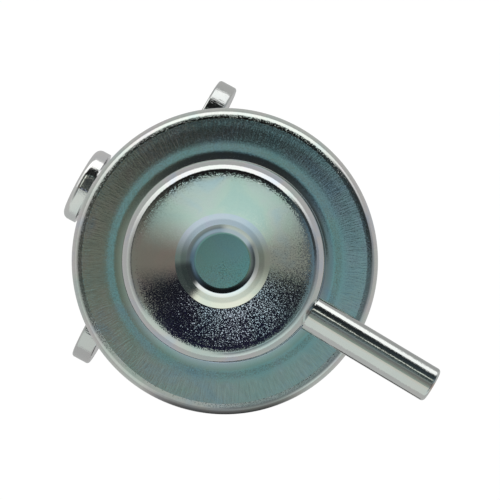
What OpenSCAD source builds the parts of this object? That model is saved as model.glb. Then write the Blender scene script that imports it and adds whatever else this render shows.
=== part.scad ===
// Fuel pressure regulator with a side flange: a crimped diaphragm housing, a radial vacuum nipple,
// a two-bolt flange with an O-ring spigot, and a return tube that carries the valve seat.
// Millimetres. The origin is the middle of the flange's rail face. +Z is up along the housing's axis,
// with the dome on top, and the spigot points along -X.

/* [Rim and dome] */
// Outside diameter of the crimped rim
rim_d = 52; // [48:0.5:58]
// Sheet thickness of the upper housing
sheet_t = 1.2; // [1:0.1:1.4]
// Outside radius of the rim's rolled edges
rim_edge_r = 2.2; // [1.8:0.05:2.3]
// How far the crimped lip reaches in under the rim
lip_w = 3.4; // [2.8:0.1:4]
// Outside diameter of the spring dome
dome_d = 33.4; // [32:0.2:36]
// Height of the dome's crest above the rim's top face
dome_h = 15.2; // [14:0.2:20]
// Outside radius of the dome's shoulder
shoulder_r = 3.2; // [2:0.1:3.4]
// Radius of the wide fillet that the rim's top face rises in towards the dome
root_r = 7; // [5:0.1:9]
// Radius of the tight fillet at the dome's wall
wall_root_r = 1; // [0.5:0.1:2]
// Slope of the dome's top, in degrees
crown_slope = 13; // [10:0.5:14]

/* [Dimple] */
// Radius at which the dome's top is highest
crest_r = 7.7; // [7.2:0.1:8.4]
// Radius of the rounding along that crest
crest_round_r = 0.5; // [0.3:0.1:1.4]
// Slope from the crest down to the dimple's edge, in degrees
lip_slope = 11; // [7:0.5:14]
// Diameter of the dimple at its edge
dimple_d = 11.6; // [10.8:0.1:12.4]
// Diameter of the dimple's flat floor
dimple_floor_d = 8.4; // [7:0.1:9]
// Slope of the dimple's wall at its edge, in degrees
dimple_slope = 48; // [36:1:56]

/* [Vacuum nipple] */
// Outside diameter of the nipple
nipple_d = 6; // [5:0.1:6.6]
// Bore of the nipple
nipple_bore_d = 3.6; // [2.5:0.1:4]
// Distance from the housing's axis to the nipple's tip
nipple_reach = 40.2; // [34:0.2:46]
// Height of the nipple's axis above the rim's top face
nipple_h = 7.8; // [6.5:0.1:8.2]
// Turn of the nipple from straight opposite the flange, in degrees
nipple_turn = -2.5; // [-30:0.5:30]
// Radius of the nipple's rounded tip
nipple_tip_r = 0.6; // [0.3:0.1:1]

/* [Fuel cup] */
// Outside diameter of the fuel cup
cup_d = 28; // [27:0.2:30]
// Sheet thickness of the fuel cup
cup_t = 1.4; // [1.2:0.1:1.6]
// Distance from the spigot's axis down to the cup's underside
cup_drop = 12; // [11:0.5:16]
// Depth of the flat pressed into the cup's side for the flange
flat_depth = 1.2; // [1:0.1:1.9]
// Outside radius of the cup's bottom corner
cup_corner_r = 2.4; // [2:0.1:3.5]

/* [Mounting flange] */
// Thickness of the flange plate
flange_t = 3.4; // [2.5:0.1:4.5]
// Distance between the two bolt holes
bolt_spacing = 40; // [37:0.5:48]
// Diameter of the bolt holes
bolt_hole_d = 6.6; // [5.5:0.1:7.2]
// Radius of the flange's ears
ear_r = 7.6; // [6:0.1:8]
// Radius of the flange's middle lobe
lobe_r = 10; // [9:0.1:11]
// Bevel along the plate's edges
flange_bevel = 0.5; // [0.2:0.1:0.8]
// Gap between the flange's middle lobe and the rim above it
rim_gap = 3.6; // [2.6:0.1:6]

/* [Inlet spigot] */
// Diameter of the spigot
spigot_d = 13.5; // [12.4:0.1:14]
// Length of the spigot from the rail face
spigot_len = 13.3; // [11:0.1:18]
// Bore of the spigot
spigot_bore_d = 6; // [5:0.1:6.4]
// Width of the collar outside the O-ring
collar_w = 2.6; // [2.4:0.1:3.5]
// Radius of the collar's rounded end
collar_round_r = 1.2; // [0.6:0.1:1.8]
// Width of the O-ring groove
groove_w = 2.6; // [2.4:0.1:3.2]
// Depth of the O-ring groove
groove_depth = 1.75; // [1.65:0.05:1.85]
// Thickness of the O-ring
ring_t = 1.9; // [1.8:0.05:1.95]

/* [Return tube] */
// Outside diameter of the return tube
tube_d = 8; // [7:0.1:9]
// Bore of the return tube
tube_bore_d = 6; // [5:0.1:6.4]
// Length of the return tube below the cup
tube_len = 22; // [16:0.5:40]
// Height of the hose bead above the tube's surface
bead_h = 0.55; // [0.3:0.05:0.8]
// Distance from the tube's end to the hose bead's middle
bead_from_end = 4; // [3:0.1:6]

/* [Diaphragm and valve] */
// Thickness of the diaphragm
diaphragm_t = 1.2; // [1.1:0.1:1.6]
// Diameter of the plates that clamp the diaphragm's middle
plate_d = 24.8; // [24.4:0.1:25.4]
// Thickness of those plates
plate_t = 1; // [0.8:0.1:1.4]
// Height of the valve holder below the plates
holder_h = 6.5; // [6:0.1:7.5]
// Diameter of the valve ball
ball_d = 7.2; // [6.8:0.1:7.6]
// Wire thickness of the main spring
spring_wire = 2.6; // [2:0.1:2.8]
// Mean diameter of the main spring
spring_d = 19.6; // [18:0.1:20]
// Turns of the main spring
spring_turns = 3.5; // [3:0.25:3.75]

/* [Hidden] */
$fn = 96;

zinc = [0.72, 0.76, 0.75];
steel = [0.62, 0.63, 0.65];
brass = [0.78, 0.63, 0.33];
rubber = [0.07, 0.07, 0.08];

// Clearances and allowances
braze_gap = 0.05;
past = 1;
arc_steps = 10;

// Radii of the housing's round forms
rim_r = rim_d / 2;
dome_r = dome_d / 2;
cup_r = cup_d / 2;
lobe_clear = 0.6;
cup_flare_r = rim_gap + sheet_t - lobe_clear;

// The cup's flat seats the flange plate, which sets the housing's axis off from the rail face
flat_x = cup_r - flat_depth;
axis_x = flat_x + flange_t;

// Heights through the crimped rim, from the lip up to the rim's top face
z_lip = lobe_r + rim_gap;
z_cup_flange = z_lip + sheet_t;
z_diaphragm = z_cup_flange + cup_t;
z_shell = z_diaphragm + diaphragm_t;
z_rim = z_shell + sheet_t;
z_flare = lobe_r + lobe_clear;
z_cup_floor = -cup_drop;

// Heights and points of the dome, from the crest in to the dimple and out to the rim
z_crest = z_rim + dome_h;
dimple_r = dimple_d / 2;
dimple_floor_r = dimple_floor_d / 2;
crest_centre = [crest_r, z_crest - crest_round_r];
lip_start = crest_centre + crest_round_r * [-sin(lip_slope), cos(lip_slope)];
z_dimple_edge = lip_start.y - (lip_start.x - dimple_r) * tan(lip_slope);
dimple_wall_r = (dimple_r - dimple_floor_r) / sin(dimple_slope);
z_dimple = z_dimple_edge - dimple_wall_r * (1 - cos(dimple_slope));
dimple_centre = [dimple_floor_r, z_dimple + dimple_wall_r];
slope_start = crest_centre + crest_round_r * [sin(crown_slope), cos(crown_slope)];
shoulder_start_x = dome_r - shoulder_r + shoulder_r * sin(crown_slope);
shoulder_start_z = slope_start.y - (shoulder_start_x - slope_start.x) * tan(crown_slope);
shoulder_centre = [dome_r - shoulder_r, shoulder_start_z - shoulder_r * cos(crown_slope)];
root_turn = 10;
root_across = (root_r - wall_root_r) * [sin(root_turn), cos(root_turn)];
root_centre = [dome_r + wall_root_r + root_across.x, z_rim + root_r];
wall_root_centre = root_centre - root_across;
rim_top_centre = [rim_r - rim_edge_r, z_rim - rim_edge_r];
rim_low_centre = [rim_r - rim_edge_r, z_lip + rim_edge_r];
rim_hollow_r = rim_edge_r - sheet_t;

// Nipple, stepped down where it passes through the dome's wall
nipple_step = 0.5;
nipple_stub_r = nipple_d / 2 - nipple_step;

// Spigot, stepped down where it passes through the cup's wall
spigot_r = spigot_d / 2;
stub_wall = 1.2;
stub_r = spigot_bore_d / 2 + stub_wall;
stub_reach = 0.6;
relief_w = 0.8;
relief_depth = 0.3;
groove_r = spigot_r - groove_depth;

// Return tube and valve seat
tube_r = tube_d / 2;
stop_h = 1.4;
stop_r = tube_r + 1.6;
tube_tip_r = 0.4;
seat_flange_t = 0.8;
seat_lip_h = 0.7;
seat_lip_w = 0.6;
seat_bore_r = 1.9;
seat_depth = 4;

// Valve, from the holder's shoulder under the diaphragm's washer down to the seat
ball_r = ball_d / 2;
z_holder_top = z_diaphragm - plate_t;
z_holder = z_holder_top - holder_h;
ball_lift_in_holder = 2.1;
ball_flat = 2.4;
z_ball = z_holder + ball_lift_in_holder;
z_valve = z_ball - ball_flat;
z_tube_top = z_valve - seat_lip_h - seat_flange_t;
socket_gap = 0.1;
socket_r = ball_r + socket_gap;
holder_r = socket_r + 1.9;
stem_r = 3.2;
stem_bore_r = 2;
head_r = 4.6;
head_h = 1;
retainer_t = 0.5;
retainer_inset = 0.2;
retainer_r = socket_r + 0.9;
retainer_grip = 0.2;

// Plates and springs
plate_r = plate_d / 2;
cup_rim_h = 3;
z_spring = z_shell + plate_t;
spring_r = spring_d / 2;
spring_seat_t = 1.2;
z_spring_top = z_dimple - sheet_t - spring_seat_t;
seat_boss_h = 1.6;
spring_gap = 0.4;
ball_wire = 0.45;
ball_spring_r = stem_bore_r - ball_wire;
ball_spring_turns = 4.5;
stem_bore_top = z_spring + head_h - 1.8;
ball_top = z_ball + sqrt(ball_r * ball_r - pow(ball_spring_r - ball_wire / 2, 2));
// The diaphragm's roll fills the space from its plates out into the flare at the foot of the dome's wall
roll_gap = 0.5;
roll_reach = 0.4;
roll_r = (dome_r - sheet_t + roll_reach - plate_r - roll_gap) / 2;
roll_x = plate_r + roll_gap + roll_r;

// Points along an arc about a centre, from one angle to another
function arc(centre, r, from, to, steps = arc_steps) =
    [for (i = [0 : steps]) let (a = from + (to - from) * i / steps) centre + r * [cos(a), sin(a)]];

// Height along a coil whose first and last turns lie close, for a share t of its turns
end_turns = 0.9;
close_pitch = 1.04;
function coil_rise(t, turns, rise, wire) =
    let (end_rise = end_turns * close_pitch * wire)
    t < end_turns ? close_pitch * wire * t
    : t > turns - end_turns ? rise - close_pitch * wire * (turns - t)
    : end_rise + (rise - 2 * end_rise) * (t - end_turns) / (turns - 2 * end_turns);

// Moves its children onto the housing's axis
module on_axis() {
    translate([axis_x, 0, 0]) children();
}

// Turns its children's +Z to point out of the spigot, along -X
module along_spigot() {
    rotate([0, -90, 0]) children();
}

// A compression spring with closed ends ground flat, standing from z0 to z1
module coil(r, wire, z0, z1, turns, sides, steps_per_turn) {
    ground = 0.35;
    start = z0 + ground * wire / 2;
    rise = z1 - z0 - ground * wire;
    steps = round(turns * steps_per_turn);
    points = [
        for (i = [0 : steps]) let (t = turns * i / steps, a = 360 * t)
            for (k = [0 : sides - 1]) let (b = 360 * k / sides, q = r + wire / 2 * cos(b))
                [q * cos(a), q * sin(a),
                 max(z0, min(z1, start + coil_rise(t, turns, rise, wire) + wire / 2 * sin(b)))]
    ];
    walls = [
        for (i = [0 : steps - 1]) for (k = [0 : sides - 1])
            let (a = i * sides + k, b = i * sides + (k + 1) % sides)
                each [[a, a + sides, b], [b, a + sides, b + sides]]
    ];
    first_end = [for (k = [0 : sides - 1]) k];
    last_end = [for (k = [sides - 1 : -1 : 0]) steps * sides + k];
    polyhedron(points = points, faces = concat(walls, [first_end, last_end]), convexity = 10);
}

// Drawn dome with its dimple, its rim rolled over and crimped under the cup's flange
module upper_housing() {
    outside = concat(
        [[0, z_dimple]],
        arc(dimple_centre, dimple_wall_r, -90, -90 + dimple_slope),
        arc(crest_centre, crest_round_r, 90 + lip_slope, 90 - crown_slope),
        arc(shoulder_centre, shoulder_r, 90 - crown_slope, 0),
        arc(wall_root_centre, wall_root_r, 180, 270 - root_turn),
        arc(root_centre, root_r, 270 - root_turn, 270),
        arc(rim_top_centre, rim_edge_r, 90, 0),
        arc(rim_low_centre, rim_edge_r, 0, -90),
        [[rim_r - lip_w, z_lip]]
    );
    z_under_crest = z_crest - crest_round_r + (crest_round_r - sheet_t) / cos(crown_slope);
    under_dimple_turn = dimple_slope - 8;
    inside = concat(
        [[rim_r - lip_w, z_cup_flange]],
        arc(rim_low_centre, rim_hollow_r, -90, 0),
        arc(rim_top_centre, rim_hollow_r, 0, 90),
        arc(root_centre, root_r + sheet_t, 270, 270 - root_turn),
        arc(wall_root_centre, wall_root_r + sheet_t, 270 - root_turn, 180),
        arc(shoulder_centre, shoulder_r - sheet_t, 0, 90 - crown_slope),
        [[crest_r, z_under_crest]],
        arc(dimple_centre, dimple_wall_r + sheet_t, -90 + under_dimple_turn, -90),
        [[0, z_dimple - sheet_t]]
    );
    color(zinc) on_axis() difference() {
        rotate_extrude() polygon(concat(outside, inside));
        nipple_place() cylinder(r = nipple_stub_r + braze_gap, h = dome_r + past);
    }
}

// Drawn fuel cup with its rim flange, a flat pressed into its side and holes for spigot and tube
module lower_housing() {
    flange_r = rim_r - sheet_t - braze_gap;
    edge_centre = [flange_r - rim_hollow_r, z_cup_flange + rim_hollow_r];
    flare_centre = [cup_r + cup_flare_r, z_flare];
    outside = concat(
        [[0, z_cup_floor]],
        arc([cup_r - cup_corner_r, z_cup_floor + cup_corner_r], cup_corner_r, -90, 0),
        arc(flare_centre, cup_flare_r, 180, 90),
        arc(edge_centre, rim_hollow_r, -90, 0),
        [[flange_r, z_diaphragm], [0, z_diaphragm]]
    );
    hollow = concat(
        [[0, z_cup_floor + cup_t]],
        arc([cup_r - cup_corner_r, z_cup_floor + cup_corner_r], cup_corner_r - cup_t, -90, 0),
        arc(flare_centre, cup_flare_r + cup_t, 180, 90),
        [[flare_centre.x, z_diaphragm + past], [0, z_diaphragm + past]]
    );
    color(zinc) on_axis() difference() {
        rotate_extrude() polygon(outside);
        flat_side(flat_x);
        difference() {
            rotate_extrude() polygon(hollow);
            flat_side(flat_x - cup_t);
        }
        translate([-axis_x, 0, 0]) along_spigot()
            translate([0, 0, -axis_x]) cylinder(r = stub_r + braze_gap, h = axis_x);
        translate([0, 0, z_cup_floor - past]) cylinder(r = tube_r + braze_gap, h = cup_t + 2 * past);
    }
}

// The space beyond the cup's flat, from under the cup up to where its wall flares
module flat_side(distance) {
    depth = z_flare - z_cup_floor + past;
    translate([-distance - cup_r, -cup_r - past, z_cup_floor - past])
        cube([cup_r, 2 * (cup_r + past), depth]);
}

// Puts its children's +Z along the nipple's axis, from the housing's axis outwards
module nipple_place() {
    translate([0, 0, z_rim + nipple_h]) rotate([0, 0, nipple_turn]) rotate([0, 90, 0]) children();
}

// Straight tube brazed into the dome's wall
module vacuum_nipple() {
    inner_end = dome_r - sheet_t - past;
    shoulder = dome_r + braze_gap;
    bore_r = nipple_bore_d / 2;
    section = concat(
        [[bore_r, inner_end], [nipple_stub_r, inner_end], [nipple_stub_r, shoulder], [nipple_d / 2, shoulder]],
        arc([nipple_d / 2 - nipple_tip_r, nipple_reach - nipple_tip_r], nipple_tip_r, 0, 90),
        [[bore_r, nipple_reach]]
    );
    color(zinc) on_axis() nipple_place() rotate_extrude() polygon(section);
}

// A disc of the flange plate with bevelled edges
module plate_disc(r) {
    b = flange_bevel;
    rotate_extrude($fn = 64)
        polygon([[0, 0], [r - b, 0], [r, b], [r, flange_t - b], [r - b, flange_t], [0, flange_t]]);
}

// Stamped plate with two ears, which the spigot passes through
module mounting_flange() {
    color(zinc) translate([flange_t, 0, 0]) along_spigot() difference() {
        hull() {
            plate_disc(lobe_r);
            for (side = [-1, 1]) translate([0, side * bolt_spacing / 2, 0]) plate_disc(ear_r);
        }
        translate([0, 0, -past]) cylinder(r = spigot_r + braze_gap, h = flange_t + 2 * past);
        for (side = [-1, 1]) translate([0, side * bolt_spacing / 2, -past])
            cylinder(d = bolt_hole_d, h = flange_t + 2 * past);
    }
}

// Turned spigot with its O-ring groove and a braze relief at the plate; its shoulder stands on the cup's flat
module inlet_spigot() {
    groove_far = spigot_len - collar_w;
    groove_near = groove_far - groove_w;
    stub_end = -flange_t - cup_t - stub_reach;
    relief_r = spigot_r - relief_depth;
    section = concat(
        [[spigot_bore_d / 2, stub_end], [stub_r, stub_end], [stub_r, -flange_t], [spigot_r, -flange_t]],
        [[spigot_r, 0], [relief_r, 0], [relief_r, relief_w], [spigot_r, relief_w]],
        [[spigot_r, groove_near], [groove_r, groove_near], [groove_r, groove_far], [spigot_r, groove_far]],
        arc([spigot_r - collar_round_r, spigot_len - collar_round_r], collar_round_r, 0, 90),
        [[spigot_bore_d / 2, spigot_len]]
    );
    color(zinc) along_spigot() rotate_extrude() polygon(section);
}

// O-ring lying in the middle of the spigot's groove
module inlet_o_ring() {
    seat_gap = 0.02;
    color(rubber) along_spigot() translate([0, 0, spigot_len - collar_w - groove_w / 2])
        rotate_extrude() translate([groove_r + ring_t / 2 + seat_gap, 0]) circle(d = ring_t);
}

// Tube with an upset stop under the cup and a hose bead near its end
module return_tube() {
    z_end = z_cup_floor - tube_len;
    z_bead = z_end + bead_from_end;
    bead_half = 1.4;
    bore_r = tube_bore_d / 2;
    bead = [for (i = [0 : arc_steps]) let (t = 2 * i / arc_steps - 1)
        [tube_r + bead_h * (1 + cos(180 * t)) / 2, z_bead + bead_half * t]];
    section = concat(
        [[bore_r, z_end]],
        arc([tube_r - tube_tip_r, z_end + tube_tip_r], tube_tip_r, -90, 0),
        bead,
        [[tube_r, z_cup_floor - stop_h]],
        arc([stop_r - stop_h / 2, z_cup_floor - stop_h / 2], stop_h / 2, -90, 90),
        [[tube_r, z_cup_floor], [tube_r, z_tube_top], [bore_r, z_tube_top]]
    );
    color(zinc) on_axis() rotate_extrude() polygon(section);
}

// Seat insert in the tube's upper end, with the raised lip that the valve closes on
module valve_seat() {
    body_r = tube_bore_d / 2 - braze_gap;
    lip_r = seat_bore_r + seat_lip_w;
    z_flange = z_tube_top + seat_flange_t;
    color(brass) on_axis() rotate_extrude() polygon([
        [seat_bore_r, z_tube_top - seat_depth], [body_r, z_tube_top - seat_depth], [body_r, z_tube_top],
        [tube_r, z_tube_top], [tube_r, z_flange], [lip_r, z_flange], [lip_r, z_valve], [seat_bore_r, z_valve]
    ]);
}

// Rubber diaphragm clamped in the rim, with a rolled ring round its plates
module diaphragm() {
    edge_r = rim_r - sheet_t - braze_gap;
    hole_r = stem_r + braze_gap;
    groove = roll_r - 0.1;
    section = concat(
        [[hole_r, z_diaphragm]],
        arc([roll_x, z_diaphragm], groove, 180, 0),
        [[edge_r, z_diaphragm]],
        arc([edge_r - rim_hollow_r, z_shell - rim_hollow_r], rim_hollow_r, 0, 90),
        arc([roll_x, z_shell], roll_r, 0, 180),
        [[hole_r, z_shell]]
    );
    color(rubber) on_axis() rotate_extrude() polygon(section);
}

// Plate under the diaphragm's middle
module diaphragm_washer() {
    color(steel) on_axis() translate([0, 0, z_holder_top]) difference() {
        cylinder(r = plate_r - spring_gap, h = plate_t);
        translate([0, 0, -past]) cylinder(r = stem_r + braze_gap, h = plate_t + 2 * past);
    }
}

// Plate on top of the diaphragm, turned up round the main spring
module spring_cup() {
    hole_r = stem_r + braze_gap;
    wall_r = spring_r + spring_wire / 2 + spring_gap;
    color(steel) on_axis() rotate_extrude() polygon([
        [hole_r, z_shell], [plate_r, z_shell], [plate_r, z_shell + cup_rim_h],
        [wall_r, z_shell + cup_rim_h], [wall_r, z_spring], [hole_r, z_spring]
    ]);
}

// Main spring between the diaphragm's cup and the seat under the dimple
module main_spring() {
    color(steel) on_axis()
        coil(spring_r, spring_wire, z_spring, z_spring_top, spring_turns, sides = 10, steps_per_turn = 28);
}

// Upper spring seat, which the dimple bears on and which centres the spring
module spring_seat() {
    boss_r = spring_r - spring_wire / 2 - spring_gap;
    color(steel) on_axis() {
        translate([0, 0, z_spring_top]) cylinder(r = spring_r + spring_wire / 2, h = spring_seat_t);
        translate([0, 0, z_spring_top - seat_boss_h])
            cylinder(r1 = boss_r - seat_boss_h / 2, r2 = boss_r, h = seat_boss_h);
    }
}

// Holder riveted through the diaphragm's plates, with a socket for the ball and its spring
module valve_holder() {
    z_socket_top = z_ball + sqrt(ball_r * ball_r - stem_bore_r * stem_bore_r) + socket_gap;
    counterbore_top = z_holder + retainer_inset + retainer_t;
    color(steel) on_axis() difference() {
        union() {
            translate([0, 0, z_holder]) cylinder(r = holder_r, h = holder_h);
            translate([0, 0, z_holder_top]) cylinder(r = stem_r, h = z_spring - z_holder_top + head_h);
            translate([0, 0, z_spring]) cylinder(r1 = head_r, r2 = head_r - head_h / 2, h = head_h);
        }
        translate([0, 0, z_holder - past]) cylinder(r = socket_r, h = z_socket_top - z_holder + past);
        translate([0, 0, z_holder - past])
            cylinder(r = retainer_r + braze_gap, h = counterbore_top - z_holder + past);
        translate([0, 0, z_ball]) cylinder(r = stem_bore_r, h = stem_bore_top - z_ball);
    }
}

// Valve ball with the ground flat that closes the seat
module valve_ball() {
    color(steel) on_axis() translate([0, 0, z_ball]) difference() {
        sphere(r = ball_r);
        translate([-ball_d, -ball_d, -ball_flat - ball_d]) cube([2 * ball_d, 2 * ball_d, ball_d]);
    }
}

// Ring pressed into the holder under the ball's widest part
module ball_retainer() {
    color(steel) on_axis() translate([0, 0, z_holder + retainer_inset]) difference() {
        cylinder(r = retainer_r, h = retainer_t);
        translate([0, 0, -past]) cylinder(r = ball_r - retainer_grip, h = retainer_t + 2 * past);
    }
}

// Small spring that keeps the ball down on its retainer
module ball_spring() {
    color(steel) on_axis()
        coil(ball_spring_r, ball_wire, ball_top + braze_gap, stem_bore_top, ball_spring_turns,
             sides = 8, steps_per_turn = 20);
}

upper_housing();
lower_housing();
vacuum_nipple();
mounting_flange();
inlet_spigot();
inlet_o_ring();
return_tube();
valve_seat();
diaphragm();
diaphragm_washer();
spring_cup();
main_spring();
spring_seat();
valve_holder();
valve_ball();
ball_retainer();
ball_spring();
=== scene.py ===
import math

import bpy
from mathutils import Matrix, Vector


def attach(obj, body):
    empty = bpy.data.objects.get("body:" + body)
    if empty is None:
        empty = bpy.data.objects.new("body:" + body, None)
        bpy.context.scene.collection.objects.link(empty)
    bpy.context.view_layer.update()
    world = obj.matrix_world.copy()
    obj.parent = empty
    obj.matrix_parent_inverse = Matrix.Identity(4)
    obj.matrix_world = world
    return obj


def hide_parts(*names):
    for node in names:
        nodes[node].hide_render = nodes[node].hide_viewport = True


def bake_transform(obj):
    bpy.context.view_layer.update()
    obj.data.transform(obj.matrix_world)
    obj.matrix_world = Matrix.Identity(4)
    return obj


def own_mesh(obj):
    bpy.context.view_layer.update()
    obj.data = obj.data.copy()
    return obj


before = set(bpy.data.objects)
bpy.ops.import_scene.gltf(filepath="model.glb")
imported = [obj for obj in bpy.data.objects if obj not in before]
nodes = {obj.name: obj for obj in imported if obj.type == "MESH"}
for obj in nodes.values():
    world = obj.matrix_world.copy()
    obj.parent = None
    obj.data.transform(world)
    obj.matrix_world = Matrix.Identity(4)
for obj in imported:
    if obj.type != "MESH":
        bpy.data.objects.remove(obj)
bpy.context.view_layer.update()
mm = 0.001
housingAxis = 16.2 * mm  # the housing's axis stands this far from the rail face
rimRadius = 26  # millimetres from that axis to the rim's edge
shortStep = 1e-7  # metres: a section leaves out steps that are shorter
print("frame loaded:", len(nodes), "nodes")


# small tools

def linear(colour):
    channels = [int(colour[i:i + 2], 16) / 255 for i in (1, 3, 5)]
    return [c / 12.92 if c <= 0.04045 else ((c + 0.055) / 1.055) ** 2.4 for c in channels] + [1]


def addNode(tree, kind, inputs=None, stops=None, **settings):
    node = tree.nodes.new(kind)
    for name, value in settings.items():
        setattr(node, name, value)
    for key, value in (inputs or {}).items():
        if isinstance(value, bpy.types.NodeSocket):
            tree.links.new(value, node.inputs[key])
        else:
            node.inputs[key].default_value = value
    if stops:
        ramp = node.color_ramp
        while len(ramp.elements) < len(stops):
            ramp.elements.new(1)
        for element, (position, colour) in zip(ramp.elements, stops):
            element.position = position
            element.color = linear(colour) if isinstance(colour, str) else colour
    return node


def stopsOver(low, high, pairs):  # ramp stops for places between low and high, as tones or as plain levels
    tones = [(place, tone if isinstance(tone, str) else (tone, tone, tone, 1)) for place, tone in pairs]
    return [((place - low) / (high - low), tone) for place, tone in tones]


def deselect():
    if bpy.context.object and bpy.context.object.mode != "OBJECT":
        bpy.ops.object.mode_set(mode="OBJECT")
    bpy.ops.object.select_all(action="DESELECT")


def pick(piece):
    deselect()
    piece.select_set(True)
    bpy.context.view_layer.objects.active = piece


def arc(centre, radius, start, end, steps=14):  # points of a section, in millimetres and degrees
    turns = [math.radians(start + (end - start) * i / steps) for i in range(steps + 1)]
    return [(centre[0] + radius * math.cos(t), centre[1] + radius * math.sin(t)) for t in turns]


def run(start, end, parts=6, nearEnd=0.04, most=0.3):  # a straight stretch; close ends keep its shading flat
    start, end = Vector(start), Vector(end)
    close = min(nearEnd / (end - start).length, most)
    shares = [close] + [close + (1 - 2 * close) * i / parts for i in range(1, parts)] + [1 - close]
    return [tuple(start.lerp(end, share)) for share in shares]


def polar(length, degrees):  # a step along a direction that is so many degrees off straight up
    return Vector((math.sin(math.radians(degrees)), math.cos(math.radians(degrees)))) * length


def spinPiece(name, section, closed=False, steps=192):
    deselect()
    bpy.ops.mesh.primitive_plane_add(size=mm)
    piece = bpy.context.object
    piece.name = name
    piece.data.name = name
    bpy.ops.object.mode_set(mode="EDIT")
    bpy.ops.mesh.select_mode(type="VERT")
    bpy.ops.mesh.merge(type="CENTER")  # one vertex, which then draws the section
    here = Vector((section[0][0], 0, section[0][1])) * mm
    bpy.ops.transform.translate(value=here)
    for x, z in section[1:]:
        there = Vector((x, 0, z)) * mm
        if (there - here).length > shortStep:
            bpy.ops.mesh.extrude_vertices_move(TRANSFORM_OT_translate={"value": there - here})
            here = there
    bpy.ops.mesh.select_all(action="SELECT")
    if closed:
        bpy.ops.object.mode_set(mode="OBJECT")
        ends = [v.index for v in piece.data.vertices]
        for v in piece.data.vertices:
            v.select = v.index in (ends[0], ends[-1])
        bpy.ops.object.mode_set(mode="EDIT")
        bpy.ops.mesh.edge_face_add()
        bpy.ops.mesh.select_all(action="SELECT")
    bpy.ops.mesh.spin(steps=steps, angle=2 * math.pi, center=(0, 0, 0), axis=(0, 0, 1))
    mendMesh()
    bpy.ops.object.mode_set(mode="OBJECT")
    return piece


def mendMesh():  # in edit mode: closes the seams and turns the faces outwards
    bpy.ops.mesh.select_all(action="SELECT")
    bpy.ops.mesh.remove_doubles(threshold=1e-6)
    bpy.ops.mesh.normals_make_consistent(inside=False)


def place(piece, location, rotation=(0, 0, 0)):
    pick(piece)
    piece.rotation_euler = rotation
    piece.location = location
    bpy.ops.object.transform_apply(location=True, rotation=True, scale=True)


def cut(piece, cutter):
    pick(piece)
    bpy.ops.object.modifier_add(type="BOOLEAN")
    modifier = piece.modifiers[-1]
    modifier.operation = "DIFFERENCE"
    modifier.solver = "EXACT"
    modifier.object = cutter
    bpy.ops.object.modifier_apply(modifier=modifier.name)
    bpy.data.objects.remove(cutter)


def rod(radius, start, end, vertices=96):  # a round cutter between two points
    start, end = Vector(start), Vector(end)
    deselect()
    bpy.ops.mesh.primitive_cylinder_add(vertices=vertices, radius=radius, depth=(end - start).length)
    cutter = bpy.context.object
    cutter.rotation_euler = (end - start).to_track_quat("Z", "Y").to_euler()
    cutter.location = (start + end) / 2
    bpy.ops.object.transform_apply(location=True, rotation=True, scale=True)
    return cutter


def block(low, high):  # a square cutter between two corners
    deselect()
    bpy.ops.mesh.primitive_cube_add(size=1)
    cutter = bpy.context.object
    cutter.scale = [h - l for l, h in zip(low, high)]
    cutter.location = [(h + l) / 2 for l, h in zip(low, high)]
    bpy.ops.object.transform_apply(location=True, rotation=True, scale=True)
    return cutter


def coat(piece, material, sharp):  # edges sharper than this many degrees stay crisp
    pick(piece)
    bpy.ops.object.shade_smooth_by_angle(angle=math.radians(sharp))
    piece.data.materials.clear()
    piece.data.materials.append(material)


def finishPiece(piece, body, node, material, sharp=22):
    coat(piece, material, sharp)
    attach(piece, body)
    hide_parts(node)
    print("piece", piece.name, len(piece.data.polygons), "faces")


# camera, above the dome and a hair towards the nipple's side

view = {
    "turn": 28.4,            # image right lies this far round from +X
    "image": 500,            # pixels along each side of the image
    "rim": (224.75, 261.1),  # the rim's middle in the image
    "scale": 5.892,          # pixels per millimetre at the rim's widest height
    "rimHeight": 16.2,
    "distance": 400,
    "lean": 0.7,             # degrees that the view leans towards +X
    "sensor": 36,
    "nearest": 10,           # millimetres from the camera at which the view starts
}
viewTurn = math.radians(view["turn"])
viewLean = math.radians(view["lean"])
imageRight = Vector((math.cos(viewTurn), math.sin(viewTurn), 0))
imageUp = Vector((-imageRight.y, imageRight.x, 0))
backwards = Vector((math.sin(viewLean), 0, math.cos(viewLean)))
cameraRight = imageUp.cross(backwards).normalized()
cameraUp = backwards.cross(cameraRight)
aim = Vector((housingAxis, 0, view["rimHeight"] * mm))
aim += cameraRight * (view["image"] / 2 - view["rim"][0]) / view["scale"] * mm
aim += cameraUp * (view["rim"][1] - view["image"] / 2) / view["scale"] * mm
cameraData = bpy.data.cameras.new("camera")
cameraData.sensor_width = view["sensor"]
cameraData.lens = view["scale"] * view["distance"] / view["image"] * view["sensor"]
cameraData.clip_start = view["nearest"] * mm
camera = bpy.data.objects.new("camera", cameraData)
bpy.context.collection.objects.link(camera)
camera.location = aim + backwards * view["distance"] * mm
camera.rotation_euler = Matrix((cameraRight, cameraUp, backwards)).transposed().to_euler()
bpy.context.scene.camera = camera
print("camera set")


# studio: soft panels all round, white to the camera, over a pale floor

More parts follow.
